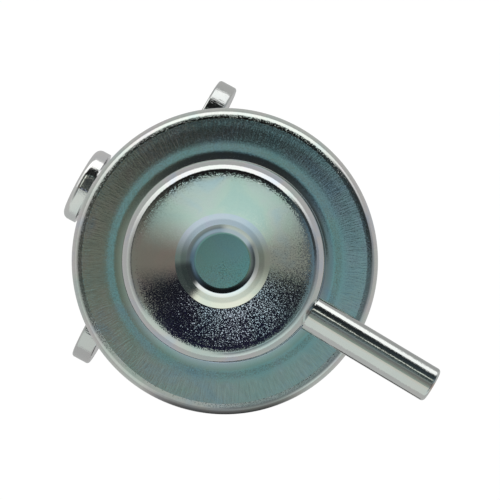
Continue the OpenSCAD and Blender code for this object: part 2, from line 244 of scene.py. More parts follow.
studio = {  # each side's panels, by degrees from straight up
    "top": [(0, "#76969e"), (3.3, "#272a2b"), (17, "#2b2f2f"), (19.5, "#efece0"), (24, "#eeeee4"),
            (25.5, "#bcd2cd"), (30.5, "#b4c8c3"), (33, "#1a1a1a"), (57, "#131313"), (62, "#ffffff"),
            (98, "#ffffff"), (106, "#a2a2a4")],
    "bottom": [(0, "#76969e"), (3.5, "#798d8a"), (15, "#8ea4a4"), (20, "#c4d0e0"), (24, "#c4d0e0"),
               (31, "#8e9a98"), (34, "#6a7472"), (42, "#6a7472"), (47, "#a6b2b6"), (55, "#8e999d"),
               (64, "#747c80"), (82, "#c4cccc")],
    "right": [(0, "#76969e"), (3.3, "#6d828c"), (20, "#68726f"), (27, "#8a8e84"), (31, "#505353"),
              (38, "#5f7580"), (66, "#5c6368"), (78, "#868a8f")],
    "left": [(0, "#76969e"), (3.3, "#6a695f"), (20, "#858e84"), (27, "#746964"), (38, "#75726b"),
             (47, "#6d6d68"), (51, "#484846"), (57, "#484846"), (64, "#848482"), (88, "#b4b7b4")],
    "strength": 1.3,
    "blend": (0.1, 0.95),  # how far up or down the image the side panels start to give way, and have done so
    # black flags and a pale card between the panels: tone, heights, image direction, how near it starts
    # and how near it is full
    "cards": [("#bdc2bf", [(37, 0), (43, 1), (92, 1), (100, 0)], 239, 0.82, 0.96),
              ("#3a4242", [(10, 0), (13, 1), (22, 1), (24, 0)], 28, 0.86, 0.95),
              ("#343a3c", [(46, 0), (50, 1), (70, 1), (76, 0)], 22, 0.9, 0.98),
              ("#15151f", [(24, 0), (24.6, 1), (32, 1), (34, 0)], 270, 0.02, 0.42),
              ("#1a1830", [(30, 0), (32, 1), (36, 1), (40, 0)], 268, 0.5, 0.78)],
}
world = bpy.data.worlds.new("studio")
bpy.context.scene.world = world
world.use_nodes = True
tree = world.node_tree
tree.nodes.clear()
direction = addNode(tree, "ShaderNodeTexCoord").outputs["Generated"]
upwards = addNode(tree, "ShaderNodeSeparateXYZ", {0: direction}).outputs["Z"]
fromZenith = addNode(tree, "ShaderNodeMath", {0: upwards}, operation="ARCCOSINE").outputs[0]
share = addNode(tree, "ShaderNodeMath", {0: fromZenith, 1: math.pi}, operation="DIVIDE").outputs[0]
level = addNode(tree, "ShaderNodeVectorMath", {0: direction, 1: (1, 1, 0)}, operation="MULTIPLY").outputs[0]
level = addNode(tree, "ShaderNodeVectorMath", {0: level}, operation="NORMALIZE").outputs[0]
up = addNode(tree, "ShaderNodeVectorMath", {0: level, 1: imageUp}, operation="DOT_PRODUCT").outputs["Value"]
across = addNode(tree, "ShaderNodeVectorMath", {0: level, 1: imageRight},
                 operation="DOT_PRODUCT").outputs["Value"]
sides = {}
for name in ("top", "bottom", "right", "left"):
    sides[name] = addNode(tree, "ShaderNodeValToRGB", {0: share}, stopsOver(0, 180, studio[name])).outputs[0]
isUp = addNode(tree, "ShaderNodeMath", {0: up, 1: 0}, operation="GREATER_THAN").outputs[0]
isRight = addNode(tree, "ShaderNodeMath", {0: across, 1: 0}, operation="GREATER_THAN").outputs[0]
upShare = addNode(tree, "ShaderNodeMath", {0: up}, operation="ABSOLUTE").outputs[0]
upShare = addNode(tree, "ShaderNodeMapRange", {"Value": upShare, "From Min": studio["blend"][0],
                                               "From Max": studio["blend"][1]},
                  interpolation_type="SMOOTHSTEP").outputs[0]
endwise = addNode(tree, "ShaderNodeMix", {"Factor": isUp, 6: sides["bottom"], 7: sides["top"]},
                  data_type="RGBA").outputs[2]
sidewise = addNode(tree, "ShaderNodeMix", {"Factor": isRight, 6: sides["left"], 7: sides["right"]},
                   data_type="RGBA").outputs[2]
panels = addNode(tree, "ShaderNodeMix", {"Factor": upShare, 6: sidewise, 7: endwise},
                 data_type="RGBA").outputs[2]
for colour, span, turn, low, high in studio["cards"]:
    way = imageRight * math.cos(math.radians(turn)) + imageUp * math.sin(math.radians(turn))
    facing = addNode(tree, "ShaderNodeVectorMath", {0: level, 1: way},
                     operation="DOT_PRODUCT").outputs["Value"]
    height = addNode(tree, "ShaderNodeValToRGB", {0: share}, stopsOver(0, 180, span)).outputs[0]
    turned = addNode(tree, "ShaderNodeMapRange", {"Value": facing, "From Min": low, "From Max": high},
                     interpolation_type="SMOOTHSTEP").outputs[0]
    covered = addNode(tree, "ShaderNodeMath", {0: height, 1: turned}, operation="MULTIPLY").outputs[0]
    panels = addNode(tree, "ShaderNodeMix", {"Factor": covered, 6: panels, 7: linear(colour)},
                     data_type="RGBA").outputs[2]
light = addNode(tree, "ShaderNodeBackground", {"Color": panels, "Strength": studio["strength"]}).outputs[0]
white = addNode(tree, "ShaderNodeBackground", {"Color": (1, 1, 1, 1), "Strength": 1}).outputs[0]
ray = addNode(tree, "ShaderNodeLightPath")
shown = addNode(tree, "ShaderNodeMixShader", {0: ray.outputs["Is Camera Ray"], 1: light, 2: white}).outputs[0]
addNode(tree, "ShaderNodeOutputWorld", {0: shown})

paperFloor = {
    "size": 6000, "height": -34.2, "tone": "#e6e6e4",
    "glow": 1.14, "whiteness": 0.86,             # what the camera sees of it is nearly all white
    "mirrored": 0.5, "mirroredShade": 0.02,      # brightness in the metal, and in a painted shadow patch
    "shadeAt": (4, -60), "shadeFade": (20, 12),  # the shade's place right and up in the image, and its edge
}
deselect()
bpy.ops.mesh.primitive_plane_add(size=paperFloor["size"] * mm, location=(0, 0, paperFloor["height"] * mm))
floor = bpy.context.object
floor.name = "floor"
paper = bpy.data.materials.new("pale floor paper")  # matt, and white to the camera
paper.use_nodes = True
tree = paper.node_tree
tree.nodes.clear()
matt = addNode(tree, "ShaderNodeBsdfDiffuse", {"Color": linear(paperFloor["tone"])}).outputs[0]
glow = addNode(tree, "ShaderNodeEmission", {"Color": (1, 1, 1, 1), "Strength": paperFloor["glow"]}).outputs[0]
floorPoint = addNode(tree, "ShaderNodeTexCoord").outputs["Object"]
# painted shadow: a dark patch on the floor that only the metal sees, below the object in the image
shadeRight, shadeUp = paperFloor["shadeAt"]
shadeAt = Vector((housingAxis, 0, 0)) + (imageRight * shadeRight + imageUp * shadeUp) * mm
away = addNode(tree, "ShaderNodeVectorMath", {0: floorPoint, 1: shadeAt},
               operation="DISTANCE").outputs["Value"]
shade = addNode(tree, "ShaderNodeMapRange", {"Value": away, "From Min": paperFloor["shadeFade"][0] * mm,
                                             "From Max": paperFloor["shadeFade"][1] * mm},
                interpolation_type="SMOOTHSTEP").outputs[0]
mirrored = addNode(tree, "ShaderNodeMapRange", {"Value": shade, "To Min": paperFloor["mirrored"],
                                                "To Max": paperFloor["mirroredShade"]}).outputs[0]
mirror = addNode(tree, "ShaderNodeEmission", {"Color": (1, 1, 1, 1), "Strength": mirrored}).outputs[0]
ray = addNode(tree, "ShaderNodeLightPath").outputs
seen = addNode(tree, "ShaderNodeMath", {0: ray["Is Camera Ray"], 1: ray["Is Transmission Ray"]},
               operation="MAXIMUM").outputs[0]
seen = addNode(tree, "ShaderNodeMath", {0: seen, 1: paperFloor["whiteness"]}, operation="MULTIPLY").outputs[0]
plainView = addNode(tree, "ShaderNodeMixShader", {0: seen, 1: matt, 2: glow}).outputs[0]
mixed = addNode(tree, "ShaderNodeMixShader", {0: ray["Is Glossy Ray"], 1: plainView, 2: mirror}).outputs[0]
addNode(tree, "ShaderNodeOutputMaterial", {0: mixed})
floor.data.materials.append(paper)
print("studio set")


# finishes

looks = {  # what the finishes share
    "noise": (0.3, 0.7),                  # where most of a noise pattern lies
    "firstTint": 0.32, "tintStep": 0.12,  # the film's tints, along its clouds
    "cloud": 9, "sheetCloud": 7,          # millimetres across a cloud, on small pieces and on sheet
    "grain": 0.28,                        # millimetres, drawn coarser than the real grain, so that it shows
    "dull": (0.8, 1.3),                   # how far the roughness spreads along the marks
    "leanLimit": 20,                      # degrees
    "lineRadius": 22.5,                   # millimetres; the draw lines have their spacing at this radius
    "streak": (0.87, 1.09),               # how far the draw lines darken and brighten the film
    "evenFrom": 13.9,                     # millimetres; from here outwards the crystals are alike all round
    "plainTints": (0.35, 0.65),           # the two tints of a plain piece, along its clouds
    "plainDull": (0.8, 1.2),              # how far its roughness spreads
}


def newMaterial(name):
    material = bpy.data.materials.new(name)
    material.use_nodes = True
    material.node_tree.nodes.clear()
    return material, material.node_tree


def tintStops(tints):  # the film's tints, one after the other along its clouds
    return [(looks["firstTint"] + looks["tintStep"] * i, tint) for i, tint in enumerate(tints)]


def platedSteel(name, finish):  # zinc plate under clear chromate: bright metal, faintly tinted in clouds
    material, tree = newMaterial(name)
    low, high = looks["noise"]
    coords = addNode(tree, "ShaderNodeTexCoord").outputs["Object"]
    turn = math.radians(finish.get("turn", 0))
    turned = addNode(tree, "ShaderNodeMapping", {"Vector": coords, "Rotation": (0, 0, turn)}).outputs[0]
    stretch = [1 / (size * mm) for size in finish["marks"]]
    along = addNode(tree, "ShaderNodeMapping", {"Vector": turned, "Scale": stretch}).outputs[0]
    cloud = addNode(tree, "ShaderNodeTexNoise", {"Vector": coords, "Scale": 1 / (looks["cloud"] * mm),
                                                 "Detail": 3, "Distortion": 0.5}).outputs[0]
    colour = addNode(tree, "ShaderNodeValToRGB", {0: cloud}, tintStops(finish["tints"])).outputs[0]
    lines = addNode(tree, "ShaderNodeTexNoise", {"Vector": along, "Scale": 1, "Detail": 2}).outputs[0]
    grain = addNode(tree, "ShaderNodeTexNoise", {"Vector": coords, "Scale": 1 / (looks["grain"] * mm),
                                                 "Detail": 1}).outputs[0]
    bright, dull = [finish["roughness"] * times for times in looks["dull"]]
    roughness = addNode(tree, "ShaderNodeMapRange", {"Value": lines, "From Min": low, "From Max": high,
                                                     "To Min": bright, "To Max": dull}).outputs[0]
    drawn = addNode(tree, "ShaderNodeBump", {"Height": lines, "Distance": finish["markHeight"] * mm})
    if "lean" in finish:  # not quite round: how many degrees the wall tips, by place across the piece
        limit = looks["leanLimit"]
        facing = addNode(tree, "ShaderNodeNewGeometry").outputs["Normal"]
        across = addNode(tree, "ShaderNodeVectorMath", {0: facing, 1: finish["leanWay"]},
                         operation="DOT_PRODUCT").outputs["Value"]
        across = addNode(tree, "ShaderNodeMapRange", {"Value": across, "From Min": -1}).outputs[0]
        leans = [(where, 0.5 + degrees / (2 * limit)) for where, degrees in finish["lean"]]
        tip = addNode(tree, "ShaderNodeValToRGB", {0: across}, stopsOver(-1, 1, leans)).outputs[0]
        tip = addNode(tree, "ShaderNodeMapRange", {"Value": tip, "To Min": math.radians(-limit),
                                                   "To Max": math.radians(limit)}).outputs[0]
        tip = addNode(tree, "ShaderNodeVectorMath", {0: finish["leanWay"], "Scale": tip},
                      operation="SCALE").outputs[0]
        facing = addNode(tree, "ShaderNodeVectorMath", {0: facing, 1: tip}, operation="ADD").outputs[0]
        facing = addNode(tree, "ShaderNodeVectorMath", {0: facing}, operation="NORMALIZE").outputs[0]
        tree.links.new(facing, drawn.inputs["Normal"])
        if "tintLayer" in finish:  # painted reflection and shade: warmer or darker tints by which way the surface faces across the piece
            tintLayer = addNode(tree, "ShaderNodeValToRGB", {0: across},
                           stopsOver(-1, 1, finish["tintLayer"])).outputs[0]
            colour = addNode(tree, "ShaderNodeMix", {"Factor": 1, 6: colour, 7: tintLayer}, data_type="RGBA",
                             blend_type="MULTIPLY").outputs[2]
    bump = addNode(tree, "ShaderNodeBump", {"Height": grain, "Distance": finish["grainHeight"] * mm,
                                            "Normal": drawn.outputs[0]}).outputs[0]
    shader = addNode(tree, "ShaderNodeBsdfPrincipled", {"Base Color": colour, "Metallic": 1,
                                                        "Roughness": roughness, "Normal": bump}).outputs[0]
    addNode(tree, "ShaderNodeOutputMaterial", {0: shader})
    return material


# marks are their sizes in millimetres along x, y and z, heights are in millimetres, and the marks are drawn
# coarser than the real ones, so that they show
tubeZinc = platedSteel("drawn zinc-plated tube", {  # fine lines along the tube from drawing
    "tints": ("#dce1de", "#e3e6e3", "#dfe3e0", "#e3e3df"), "roughness": 0.06,
    "marks": (1.8, 0.3, 0.3), "turn": 2.5, "markHeight": 0.0045, "grainHeight": 0.007,
    "leanWay": imageRight * 0.514 + imageUp * 0.858,
    "lean": [(-1, 0), (-0.88, -1), (-0.72, -3), (-0.5, -5.4), (-0.4, -6.2), (-0.29, -7.4), (-0.19, -9.9),
             (-0.165, 7), (-0.08, 4), (0.03, -0.2), (0.1, -4.9), (0.13, -7.2), (0.14, -7), (0.155, -4.6),
             (0.275, -8.4), (0.283, -8.6), (0.291, -4.9), (0.345, -8.1), (0.353, -2.4), (0.5, -5.6),
             (0.565, -7.8), (0.94, -8)],
    # painted reflection and shade: warm tints over part of the tube and a darker grey where it faces along
    # leanWay
    "tintLayer": [(-0.35, "#ffffff"), (-0.2, "#fff4ec"), (-0.06, "#f2d6cc"), (0.05, "#eed0c6"),
             (0.13, "#f8ece4"), (0.2, "#ffffff"), (0.8, "#ffffff"), (0.86, "#e2e2e2")]})
returnZinc = platedSteel("drawn zinc-plated return tube", {  # softer shine, with lines down the tube
    "tints": ("#d0dad8", "#dcdedb", "#d6dbdd", "#dfdad3"), "roughness": 0.11,
    "marks": (0.22, 0.22, 7), "markHeight": 0.002, "grainHeight": 0.003})
plateZinc = platedSteel("stamped zinc-plated plate", {  # the sheared edge is streaked across its thickness
    "tints": ("#d5d9d7", "#dddedb", "#d9dbd9", "#dadad8"), "roughness": 0.1,
    "marks": (1.1, 0.26, 0.26), "markHeight": 0.024, "grainHeight": 0.006, "leanWay": (0, 1, 0),
    "lean": [(-1, 0), (0, 0), (0.2, 3), (0.35, 1), (0.5, -2.5), (0.62, -5), (0.85, -8), (1, -8)]})
turnedZinc = platedSteel("turned zinc-plated steel", {  # close rings from turning
    "tints": ("#e6eae8", "#eeeeeb", "#eaebec", "#eeecea"), "roughness": 0.12,
    "marks": (0.16, 4, 4), "markHeight": 0.002, "grainHeight": 0.012, "leanWay": (0, 1, 0),
    "lean": [(-1, 19), (-0.9, 19), (-0.68, 2), (-0.5, -1.2), (-0.3, -4.6), (-0.12, -12.8), (-0.118, 8),
             (0.1, -2.7), (0.26, -7), (0.262, 1.8), (0.43, 0), (1, 0)]})


def housingZinc(name, finish):  # deep-drawn sheet: sparkle of plate crystals, draw lines and tinted rings
    material, tree = newMaterial(name)
    low, high = looks["noise"]
    coords = addNode(tree, "ShaderNodeTexCoord").outputs["Object"]
    centred = addNode(tree, "ShaderNodeMapping", {"Vector": coords,
                                                  "Location": (-housingAxis, 0, 0)}).outputs[0]
    level = addNode(tree, "ShaderNodeVectorMath", {0: centred, 1: (1, 1, 0)}, operation="MULTIPLY").outputs[0]
    radius = addNode(tree, "ShaderNodeVectorMath", {0: level}, operation="LENGTH").outputs["Value"]
    height = addNode(tree, "ShaderNodeSeparateXYZ", {0: centred}).outputs["Z"]
    share = addNode(tree, "ShaderNodeMath", {0: radius, 1: rimRadius * mm}, operation="DIVIDE").outputs[0]
    outwards = addNode(tree, "ShaderNodeVectorMath", {0: level}, operation="NORMALIZE").outputs[0]

    # the film: clouds of tint, rings of tint that are partly painted light, and a painted shade on the rim
    cloud = addNode(tree, "ShaderNodeTexNoise", {"Vector": coords, "Scale": 1 / (looks["sheetCloud"] * mm),
                                                 "Detail": 3, "Distortion": 0.6}).outputs[0]
    tintLayer = addNode(tree, "ShaderNodeValToRGB", {0: cloud}, tintStops(finish["tints"])).outputs[0]
    rings = addNode(tree, "ShaderNodeValToRGB", {0: share},
                    stopsOver(0, rimRadius, finish["rings"])).outputs[0]
    tint = addNode(tree, "ShaderNodeMix", {"Factor": 1, 6: tintLayer, 7: rings}, data_type="RGBA",
                   blend_type="MULTIPLY").outputs[2]
    if "paintedShadeSpan" in finish:  # painted shade: the rim's edge darker towards the image's lower side, standing in for the floor's shadow it would mirror
        side = addNode(tree, "ShaderNodeVectorMath", {0: outwards, 1: finish["paintedShadeWay"]},
                       operation="DOT_PRODUCT").outputs["Value"]
        side = addNode(tree, "ShaderNodeMapRange", {"Value": side, "From Min": finish["paintedShadeSide"][0],
                                                    "From Max": finish["paintedShadeSide"][1]},
                       interpolation_type="SMOOTHSTEP").outputs[0]
        where = addNode(tree, "ShaderNodeValToRGB", {0: share},
                        stopsOver(0, rimRadius, finish["paintedShadeSpan"])).outputs[0]
        side = addNode(tree, "ShaderNodeMath", {0: side, 1: where}, operation="MULTIPLY").outputs[0]
        tint = addNode(tree, "ShaderNodeMix", {"Factor": side, 6: tint, 7: linear(finish["paintedShadeTone"])},
                       data_type="RGBA", blend_type="MULTIPLY").outputs[2]

    # draw lines, which run outwards and down the walls
    turns = looks["lineRadius"] / finish["lineSpacing"]
    around = addNode(tree, "ShaderNodeVectorMath", {0: outwards, "Scale": turns},
                     operation="SCALE").outputs[0]
    reach = addNode(tree, "ShaderNodeMath", {0: radius, 1: height}, operation="SUBTRACT").outputs[0]
    reach = addNode(tree, "ShaderNodeMath", {0: reach, 1: 1 / (finish["lineLength"] * mm)},
                    operation="MULTIPLY").outputs[0]
    reach = addNode(tree, "ShaderNodeCombineXYZ", {"Z": reach}).outputs[0]
    drawn = addNode(tree, "ShaderNodeVectorMath", {0: around, 1: reach}, operation="ADD").outputs[0]
    lines = addNode(tree, "ShaderNodeTexNoise", {"Vector": drawn, "Scale": 1, "Detail": 2}).outputs[0]
    where = addNode(tree, "ShaderNodeValToRGB", {0: share},
                    stopsOver(0, rimRadius, finish["lineSpan"])).outputs[0]
    darkest, brightest = looks["streak"]
    streak = addNode(tree, "ShaderNodeMapRange", {"Value": lines, "From Min": low, "From Max": high,
                                                  "To Min": darkest, "To Max": brightest}).outputs[0]
    streak = addNode(tree, "ShaderNodeMix", {"Factor": where, 2: 1.0, 3: streak}).outputs[0]
    tint = addNode(tree, "ShaderNodeVectorMath", {0: tint, "Scale": streak}, operation="SCALE").outputs[0]
    lines = addNode(tree, "ShaderNodeMath", {0: lines, 1: where}, operation="MULTIPLY").outputs[0]
    drawn = addNode(tree, "ShaderNodeBump", {"Height": lines,
                                             "Distance": finish["lineHeight"] * mm}).outputs[0]

    # crystals, coarse on one side of the crown
    crystal = addNode(tree, "ShaderNodeTexNoise", {"Vector": coords, "Scale": 1 / (finish["crystal"] * mm),
                                                   "Detail": 0}).outputs["Color"]
    crystal = addNode(tree, "ShaderNodeVectorMath", {0: crystal, 1: (0.5, 0.5, 0.5)},
                      operation="SUBTRACT").outputs[0]
    where = addNode(tree, "ShaderNodeValToRGB", {0: share},
                    stopsOver(0, rimRadius, finish["crystalSpan"])).outputs[0]
    coarse = addNode(tree, "ShaderNodeVectorMath", {0: outwards, 1: finish["coarseWay"]},
                     operation="DOT_PRODUCT").outputs["Value"]
    coarse = addNode(tree, "ShaderNodeMapRange", {"Value": coarse, "From Min": -1}).outputs[0]
    coarse = addNode(tree, "ShaderNodeValToRGB", {0: coarse},
                     stopsOver(-1, 1, finish["coarseSpan"])).outputs[0]
    even = addNode(tree, "ShaderNodeMath", {0: radius, 1: looks["evenFrom"] * mm},
                   operation="GREATER_THAN").outputs[0]
    coarse = addNode(tree, "ShaderNodeMath", {0: coarse, 1: even}, operation="MAXIMUM").outputs[0]
    tip = addNode(tree, "ShaderNodeMath", {0: where, 1: coarse}, operation="MULTIPLY").outputs[0]
    tip = addNode(tree, "ShaderNodeMath", {0: tip, 1: finish["crystalTip"]}, operation="MULTIPLY").outputs[0]
    tipped = addNode(tree, "ShaderNodeVectorMath", {0: crystal, "Scale": tip}, operation="SCALE").outputs[0]
    facing = addNode(tree, "ShaderNodeVectorMath", {0: drawn, 1: tipped}, operation="ADD").outputs[0]
    facing = addNode(tree, "ShaderNodeVectorMath", {0: facing}, operation="NORMALIZE").outputs[0]
    shader = addNode(tree, "ShaderNodeBsdfPrincipled", {
        "Base Color": tint, "Metallic": 1, "Roughness": finish["roughness"], "Normal": facing}).outputs[0]
    addNode(tree, "ShaderNodeOutputMaterial", {0: shader})
    return material


# rings and spans go by millimetres from the housing's axis; crystals and draw lines are drawn coarser than
# the real ones, so that they show; crystalTip is the spread at a span of 1, in radians
domeZinc = housingZinc("deep-drawn zinc-plated dome", {  # mirror bright, with a sparkle on one side
    "tints": ("#dce6e4", "#e6e9e4", "#ebe6e6", "#dfe3ed"), "roughness": 0.07,
    # the ring tints are the chromate's tints with painted light in some rings: darker painted shade on the
    # dimple's lip (6.1 to 6.7) and in the rim's crease (24.1 to 24.75), brighter painted highlight on the
    # shoulder (15.15 to 16.6) and on the rim's rounded edge (from 24.85)
    "rings": [(0, "#c0e2de"), (4.6, "#c0e2de"), (4.7, "#d4e4f2"), (5.2, "#d4e4f2"), (5.5, "#e8eeec"),
              (6.1, "#d0d6d6"), (6.7, "#d0d6d6"), (6.95, "#eef2f0"), (15, "#e6eeec"), (15.15, "#f0f6f4"),
              (16.6, "#f0f4f4"), (17, "#e6e8ec"), (18.7, "#d6ebe8"), (19.7, "#d8eae8"), (21, "#e6ecec"),
              (24.05, "#e6ecec"), (24.12, "#cad2ce"), (24.75, "#cad2ce"), (24.85, "#f2f5f3"),
              (25.4, "#f2f5f3"), (25.6, "#f8faf8")],
    "lineSpacing": 0.24, "lineLength": 1.6, "lineHeight": 0.0048,
    "lineSpan": [(20.2, 0), (21, 1), (23.6, 1), (24.3, 0.3)],
    "crystal": 0.165, "crystalTip": 0.9, "coarseWay": imageRight * 0.26 - imageUp * 0.966,
    "coarseSpan": [(-0.2, 0.12), (0.1, 0.36), (0.26, 0.44), (0.7, 0.6), (0.95, 0.92)],
    "crystalSpan": [(4.4, 0.06), (4.55, 0.03), (7.7, 0.03), (8, 0.26), (13.9, 0.35), (13.95, 0.2),
                    (14.95, 0.2), (15.2, 0.06), (16.9, 0.06), (17.1, 0.03), (24.05, 0.04), (24.1, 0.42),
                    (24.75, 0.42), (24.85, 0.04)],
    # painted shade: the rim's edge darkened towards the image's lower side
    "paintedShadeSpan": [(24.7, 0), (25, 0.6), (25.4, 0.7), (25.75, 1)], "paintedShadeWay": -imageUp, "paintedShadeSide": (0.8, 0.97),
    "paintedShadeTone": "#3f4442"})
cupZinc = housingZinc("deep-drawn zinc-plated cup", {  # a softer shine, streaked down its wall
    "tints": ("#d2dfdd", "#dedfdc", "#e2ddda", "#d9dee2"), "roughness": 0.12,
    "rings": [(0, "#f2f6f5"), (26, "#f2f4f4")],
    "lineSpacing": 0.5, "lineLength": 6, "lineHeight": 0.004,
    "lineSpan": [(0, 0), (9, 0.4), (13, 1), (26, 1)],
    "crystal": 0.3, "crystalTip": 0.11, "coarseWay": -imageUp, "coarseSpan": [(-1, 1), (1, 1)],
    "crystalSpan": [(0, 0.8), (26, 0.8)]})


def plain(name, tints, metallic, roughness, size, depth):  # pieces inside the housing, and rubber
    material, tree = newMaterial(name)
    low, high = looks["noise"]
    coords = addNode(tree, "ShaderNodeTexCoord").outputs["Object"]
    cloud = addNode(tree, "ShaderNodeTexNoise", {"Vector": coords, "Scale": 1 / (size * mm),
                                                 "Detail": 3}).outputs[0]
    stops = list(zip(looks["plainTints"], tints))
    tint = addNode(tree, "ShaderNodeValToRGB", {0: cloud}, stops).outputs[0]
    bright, dull = [roughness * times for times in looks["plainDull"]]
    spread = addNode(tree, "ShaderNodeMapRange", {"Value": cloud, "From Min": low, "From Max": high,
                                                  "To Min": bright, "To Max": dull}).outputs[0]
    bump = addNode(tree, "ShaderNodeBump", {"Height": cloud, "Distance": depth * mm}).outputs[0]
    shader = addNode(tree, "ShaderNodeBsdfPrincipled", {"Base Color": tint, "Metallic": metallic,
                                                        "Roughness": spread, "Normal": bump}).outputs[0]
    addNode(tree, "ShaderNodeOutputMaterial", {0: shader})
    return material


# size and depth of each one's unevenness are in millimetres
ringRubber = plain("moulded nitrile rubber", ("#1d1e1f", "#28292a"),  # satin black
                   metallic=0, roughness=0.45, size=0.4, depth=0.01)
clothRubber = plain("cloth-backed rubber sheet", ("#202223", "#2b2c2d"),  # matt black
                    metallic=0, roughness=0.6, size=0.6, depth=0.03)
valveSteel = plain("turned valve steel", ("#b9bbbe", "#c6c7c9"),  # soft grey shine
                   metallic=1, roughness=0.25, size=0.5, depth=0.002)
ballSteel = plain("polished ball steel", ("#d2d3d5", "#dadbdc"),  # mirror bright
                  metallic=1, roughness=0.06, size=2, depth=0.0005)
springSteel = plain("oil-tempered spring wire", ("#5c5e61", "#75777a"),  # dark grey shine
                    metallic=1, roughness=0.3, size=0.5, depth=0.002)
seatBrass = plain("turned brass", ("#c9a85a", "#d6b76c"),  # warm yellow shine
                  metallic=1, roughness=0.2, size=0.5, depth=0.002)
innerFinishes = {
    "valve_seat": seatBrass, "diaphragm": clothRubber, "diaphragm_washer": valveSteel,
    "spring_cup": valveSteel, "main_spring": springSteel, "spring_seat": valveSteel,
    "valve_holder": valveSteel, "valve_ball": ballSteel, "ball_retainer": valveSteel,
    "ball_spring": springSteel,
}
for node, material in innerFinishes.items():
    for slot in nodes[node].material_slots:
        slot.material = material
print("finishes made")


# upper housing: the drawn dome with its dimple and the crimped rim

dome = {
    "rimTop": 18.6, "lip": 13.6, "lipWidth": 3.4, "sheet": 1.2, "rimEdge": 2.2, "wall": 16.7, "crest": 33.8,
    "crestRadius": 7.7, "dimple": 4.6, "shoulder": 3.2, "crownSlope": 13, "wideRoot": 7, "wallRoot": 1,
    "rootTurn": 10,
    # radius, and how far the surface tips outwards there: from the dimple over crest and shoulder to the wall
    "top": [(0, 0), (4.4, 0), (4.5, -4.5), (4.64, -7), (4.64, -22.5), (5.2, -26), (5.37, -32), (5.95, -36),
            (5.95, -11), (7.72, -11), (7.72, 12.5), (12.55, 13.6), (13.5, 14.1), (14.15, 15), (14.84, 19),
            (15.08, 30), (16.7, 90)],
    # and from the wall's foot over the coined ring and the flat to the rim
    "brim": [(16.7, 90), (17.2, 6.5), (17.6, 5), (18.3, 0.6), (18.85, -1.4), (19.65, -1.4), (20.5, 0),
             (22.4, 0), (23.2, -0.5), (24.1, -0.5), (24.1, 21), (24.7, 27), (24.8, 29.5), (25.4, 47.5),
             (26, 90)],
    "flat": (20, 24),  # its lowest point between these radii lies at rimTop
}


def sweep(stations, steps=8, finest=2.5):  # a smooth section through the stations, from their tip angles
    points, z = [(stations[0][0], 0)], 0
    for (r0, tip0), (r1, tip1) in zip(stations, stations[1:]):
        if r0 == r1:  # a crease
            continue
        start, end = math.radians(tip0), math.radians(tip1)
        if tip0 == tip1:
            z1 = z - (r1 - r0) * math.sin(start) / math.cos(start)
            points += run((r0, z), (r1, z1), 5) + [(r1, z1)]
        else:
            bend = (r1 - r0) / (math.sin(end) - math.sin(start))
            parts = max(steps, int(abs(tip1 - tip0) / finest))
            for i in range(1, parts + 1):
                tip = math.radians(tip0 + (tip1 - tip0) * i / parts)
                points.append((r0 + bend * (math.sin(tip) - math.sin(start)),
                               z - bend * (math.cos(start) - math.cos(tip))))
            z1 = points[-1][1]
        z = z1
    return points


def raised(points, lift):
    return [(r, z + lift) for r, z in points]


def upperHousing():
    d = dome
    sheet = d["sheet"]
    hollow = d["rimEdge"] - sheet
    lipEnd = rimRadius - d["lipWidth"]
    rimTop = Vector((rimRadius - d["rimEdge"], d["rimTop"] - d["rimEdge"]))
    rimLow = Vector((rimRadius - d["rimEdge"], d["lip"] + d["rimEdge"]))
    top = sweep(d["top"])
    top = raised(top, d["crest"] - max(z for r, z in top))
    brim = sweep(d["brim"])
    brim = raised(brim, d["rimTop"] - min(z for r, z in brim if d["flat"][0] < r < d["flat"][1]))
    outside = top + run(top[-1], brim[0], 12) + brim
    outside += arc(rimLow, d["rimEdge"], 0, -90, 18)
    outside += run((rimLow.x, d["lip"]), (lipEnd, d["lip"]), 2) + [(lipEnd, d["lip"])]

    across = polar(d["wideRoot"] - d["wallRoot"], d["rootTurn"])
    root = Vector((d["wall"] + d["wallRoot"] + across.x, d["rimTop"] + d["wideRoot"]))
    wallRoot = root - across
    innerWall = d["wall"] - sheet
    slope = math.radians(d["crownSlope"])
    innerX = d["wall"] - d["shoulder"] * (1 - math.sin(slope))
    innerZ = d["crest"] - (innerX - d["crestRadius"]) * math.tan(slope)
    shoulder = Vector((innerX, innerZ)) - polar(d["shoulder"], d["crownSlope"])
    inside = [(lipEnd, d["lip"] + sheet)]
    inside += arc(rimLow, hollow, -90, 0, 10) + arc(rimTop, hollow, 0, 90, 10)
    inside += arc(root, d["wideRoot"] + sheet, 270, 270 - d["rootTurn"], 8)
    inside += arc(wallRoot, d["wallRoot"] + sheet, 270 - d["rootTurn"], 180, 8)
    inside += run((innerWall, wallRoot.y), (innerWall, shoulder.y), 12)
    inside += arc(shoulder, d["shoulder"] - sheet, 0, 90 - d["crownSlope"], 8)
    dimpleFloor = top[0][1] - sheet
    inside += [(d["crestRadius"], d["crest"] - sheet), (d["dimple"], dimpleFloor), (0, dimpleFloor)]
    piece = spinPiece("upperHousing", outside + inside, steps=216)
    place(piece, (housingAxis, 0, 0))

    start = Vector((housingAxis, 0, nipple["height"] * mm))
    turn = math.radians(nipple["turn"])
    outwards = Vector((math.cos(turn), math.sin(turn), 0))
    inner, outer = [start + outwards * end * mm for end in nipple["hole"]]
    cut(piece, rod((nipple["stub"] + nipple["braze"]) * mm, inner, outer, vertices=48))
    return piece


# vacuum nipple: a plain tube with a rounded tip

nipple = {"radius": 3, "stub": 2.5, "bore": 1.8, "start": 14.5, "shoulder": 16.75, "reach": 40.2, "tip": 0.6,
          "boreTip": 0.2, "height": 26.4, "turn": -2.5, "hole": (8, 18), "braze": 0.05}


